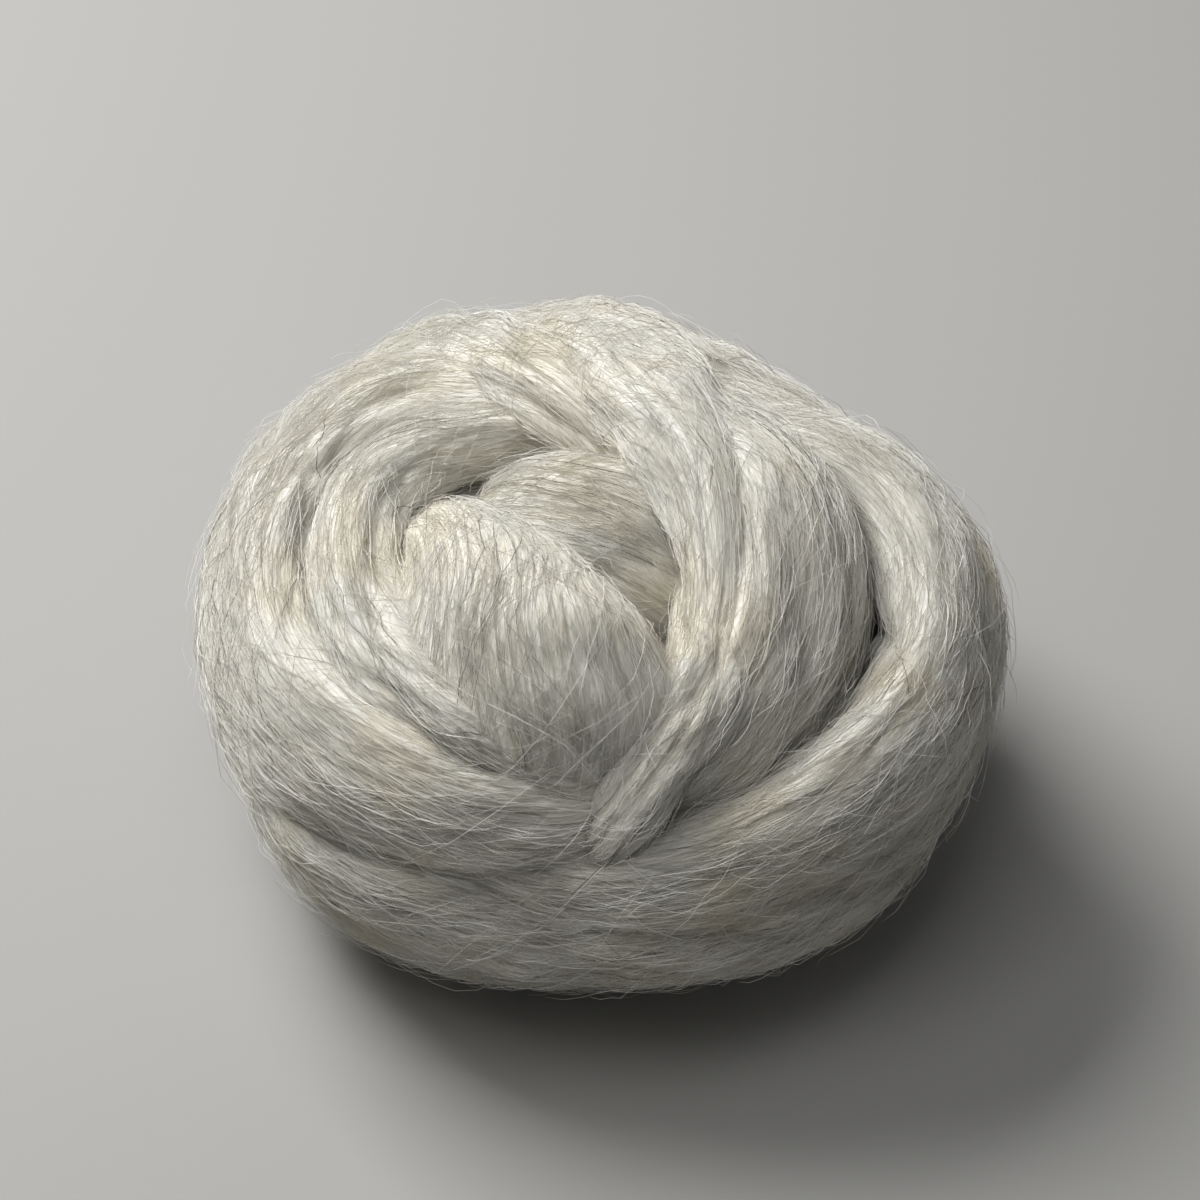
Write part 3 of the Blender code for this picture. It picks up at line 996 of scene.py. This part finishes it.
def single_fibres(name, stops, roughness, sheen):
    """Single wool fibres, each of one tone from the stops: matt, with a soft sheen."""
    material, tree, shader = shaded(name, roughness, 0.2, sheen)
    tone = add(tree, "ShaderNodeAttribute", attribute_name="tone")
    colour = ramp(tree, tone.outputs["Fac"], stops)
    tree.links.new(in_patches(tree, colour).outputs[2], shader.inputs["Base Color"])
    return material


# ---------------------------------------------------------------- pieces


class ROVING_OT_turns(bpy.types.Operator):
    """Winds the strand into the ball's turns"""

    bl_idname = "roving.turns"
    bl_label = "Wind Turns"

    def execute(self, context):
        ball = context.scene.roving_ball
        rng = np.random.default_rng(ball.seed)
        shells = [(strand_rings(ball, rows, rng), GRAIN.get(name, 0)) for name, rows in TURNS.items()]
        shells.append((core_rings(ball, rng), 0))
        middle = np.array(ball.middle)
        for (rings, _, _), _ in shells:
            rings += middle
            rings[..., 2] = np.maximum(rings[..., 2], 0.0)
        mesh = shells_mesh("wound_turns", shells)
        outward_faces(mesh)
        mark_open(mesh)
        mesh.shade_smooth()
        mesh.materials.append(combed_wool(context.scene.roving_colours))
        piece = bpy.data.objects.new("wound_turns", mesh)
        context.scene.collection.objects.link(piece)
        carried(piece)
        return {"FINISHED"}


class ROVING_OT_laid_fibres(bpy.types.Operator):
    """Lays fibres along the turns, in a few layers of different length"""

    bl_idname = "roving.laid_fibres"
    bl_label = "Lay Fibres"

    def execute(self, context):
        fibres = context.scene.roving_fibres
        skin = bpy.data.objects["wound_turns"]
        tree = fibre_tree()
        colours = context.scene.roving_colours
        stops = ((0.0, colours.grey), (0.16, colours.wool), (1.0, colours.light))
        wool = single_fibres("wool fibre", stops, 0.75, 0.2)
        for number, (lengthen, lift, wave, drift) in enumerate(LAYERS, 1):
            sizes = {
                "Density": fibres.laid / PER_AREA,
                "Length": fibres.length * lengthen,
                "Width": fibres.width,
                "Lift": lift * MM,
                "Wave": wave * MM,
                "Drift": drift,
                "Steps": 8,
                "Seed": number,
                "Material": wool,
            }
            carried(grown(f"laid_fibres_{number}", skin, tree, sizes))
        return {"FINISHED"}


class ROVING_OT_loose_fibres(bpy.types.Operator):
    """Raises the loose fibres and the white kinked hairs that stand off the ball"""

    bl_idname = "roving.loose_fibres"
    bl_label = "Raise Loose Fibres"

    def execute(self, context):
        fibres = context.scene.roving_fibres
        skin = bpy.data.objects["wound_turns"]
        tree = bpy.data.node_groups["roving fibres"]
        colours = context.scene.roving_colours
        stops = ((0.0, colours.shade), (1.0, colours.light))
        white = single_fibres("loose wool fibre", stops, 0.5, 0.2)
        sizes = {
            "Density": fibres.loose / PER_AREA,
            "Least Openness": 0.2,
            "Length": 17 * MM,
            "Length Spread": 0.7,
            "Width": 0.09 * MM,
            "Lift": 0.5 * MM,
            "Rise": 4.5 * MM,
            "Arch": 1.8 * MM,
            "Drift": 1.6,
            "Wave": 1.6 * MM,
            "Wave Length": 6 * MM,
            "Curl": 7 * MM,
            "Steps": 9,
            "Round": True,
            "Seed": 21,
            "Material": white,
        }
        carried(grown("loose_fibres", skin, tree, sizes))
        sizes = {
            "Density": fibres.fuzz / PER_AREA,
            "Least Openness": 0.02,
            "Length": 11 * MM,
            "Length Spread": 0.5,
            "Width": 0.08 * MM,
            "Lift": 1.0 * MM,
            "Rise": 1.2 * MM,
            "Arch": 1.2 * MM,
            "Drift": 2.5,
            "Wave": 2.4 * MM,
            "Wave Length": 5 * MM,
            "Curl": 2.5 * MM,
            "Steps": 6,
            "Seed": 61,
            "Material": white,
        }
        carried(grown("fuzz", skin, tree, sizes))
        return {"FINISHED"}


class ROVING_OT_guard_hairs(bpy.types.Operator):
    """Scatters the dark guard hairs, which bend and kink over the turns"""

    bl_idname = "roving.guard_hairs"
    bl_label = "Scatter Guard Hairs"

    def execute(self, context):
        fibres = context.scene.roving_fibres
        skin = bpy.data.objects["wound_turns"]
        tree = bpy.data.node_groups["roving fibres"]
        colours = context.scene.roving_colours
        stops = ((0.3, colours.guard), (1.0, colours.grey))
        dark = single_fibres("grey guard hair", stops, 0.45, 0.05)
        sizes = {
            "Density": fibres.guard / PER_AREA,
            "Least Openness": 0.15,
            "Length": 20 * MM,
            "Length Spread": 0.6,
            "Width": 0.11 * MM,
            "Lift": 1.2 * MM,
            "Rise": 0.6 * MM,
            "Drift": 1.2,
            "Wave": 3.2 * MM,
            "Wave Length": 5 * MM,
            "Curl": 1.0 * MM,
            "Steps": 16,
            "Round": True,
            "Seed": 41,
            "Material": dark,
        }
        carried(grown("guard_hairs", skin, tree, sizes))
        return {"FINISHED"}


class ROVING_OT_stage(bpy.types.Operator):
    """Sets the pale floor, the soft light and the camera"""

    bl_idname = "roving.stage"
    bl_label = "Set Stage"

    def execute(self, context):
        stage = context.scene.roving_stage
        scene = context.scene
        mesh = bpy.data.meshes.new("floor")
        half = FLOOR_SIZE / 2
        corners = [(-half, -half, 0), (half, -half, 0), (half, half, 0), (-half, half, 0)]
        mesh.from_pydata(corners, [], [(0, 1, 2, 3)])
        floor = bpy.data.objects.new("floor", mesh)
        scene.collection.objects.link(floor)
        material, _, shader = shaded("matt white card", 0.9, 0.2, 0.0)
        shader.inputs["Base Color"].default_value = scene.roving_colours.card
        mesh.materials.append(material)

        world = bpy.data.worlds.new("studio")
        world.use_nodes = True
        world.node_tree.nodes["Background"].inputs["Color"].default_value = linear("E8EAEC")
        world.node_tree.nodes["Background"].inputs["Strength"].default_value = stage.ambient
        scene.world = world
        for name, place, size, watts in LAMPS:
            light = bpy.data.lights.new(name, "AREA")
            light.shape = "SQUARE"
            light.size = size
            light.energy = watts
            lamp = bpy.data.objects.new(name, light)
            scene.collection.objects.link(lamp)
            lamp.location = place
            lamp.rotation_euler = (STAGE_AIM - Vector(place)).to_track_quat("-Z", "Y").to_euler()

        camera = bpy.data.cameras.new("camera")
        camera.sensor_width = SENSOR_WIDTH
        camera.lens = SENSOR_WIDTH * stage.distance / stage.view_width
        camera.shift_x, camera.shift_y = stage.shift
        eye = bpy.data.objects.new("camera", camera)
        scene.collection.objects.link(eye)
        back = Vector((0.0, -math.cos(stage.elevation), math.sin(stage.elevation)))
        eye.location = CAMERA_AIM + back * stage.distance
        eye.rotation_euler = (-back).to_track_quat("-Z", "Y").to_euler()
        scene.camera = eye
        scene.view_settings.view_transform = "Standard"
        return {"FINISHED"}


class ROVING_PT_panel(bpy.types.Panel):
    """Lists the ball's settings and the steps that make it"""

    bl_idname = "ROVING_PT_panel"
    bl_label = "Wool Roving"
    bl_space_type = "VIEW_3D"
    bl_region_type = "UI"
    bl_category = "Roving"

    def draw(self, context):
        for settings, group, steps in PANEL_PARTS:
            box = self.layout.box()
            for name in group.__annotations__:
                box.prop(getattr(context.scene, settings), name)
            for step in steps:
                box.operator(step.bl_idname)


SETTINGS = {
    "roving_ball": RovingBall,
    "roving_fibres": RovingFibres,
    "roving_colours": RovingColours,
    "roving_stage": RovingStage,
}
FIBRE_STEPS = (ROVING_OT_laid_fibres, ROVING_OT_loose_fibres, ROVING_OT_guard_hairs)
PANEL_PARTS = (
    ("roving_ball", RovingBall, (ROVING_OT_turns,)),
    ("roving_colours", RovingColours, ()),
    ("roving_fibres", RovingFibres, FIBRE_STEPS),
    ("roving_stage", RovingStage, (ROVING_OT_stage,)),
)
CLASSES = (
    *SETTINGS.values(),
    ROVING_OT_turns,
    ROVING_OT_laid_fibres,
    ROVING_OT_loose_fibres,
    ROVING_OT_guard_hairs,
    ROVING_OT_stage,
    ROVING_PT_panel,
)


def register():
    for cls in CLASSES:
        bpy.utils.register_class(cls)
    for name, group in SETTINGS.items():
        setattr(bpy.types.Scene, name, PointerProperty(type=group))


def unregister():
    for name in SETTINGS:
        delattr(bpy.types.Scene, name)
    for cls in reversed(CLASSES):
        bpy.utils.unregister_class(cls)


def main():
    register()
    bpy.ops.roving.turns()
    bpy.ops.roving.laid_fibres()
    bpy.ops.roving.loose_fibres()
    bpy.ops.roving.guard_hairs()
    bpy.ops.roving.stage()


if __name__ == "__main__":
    main()
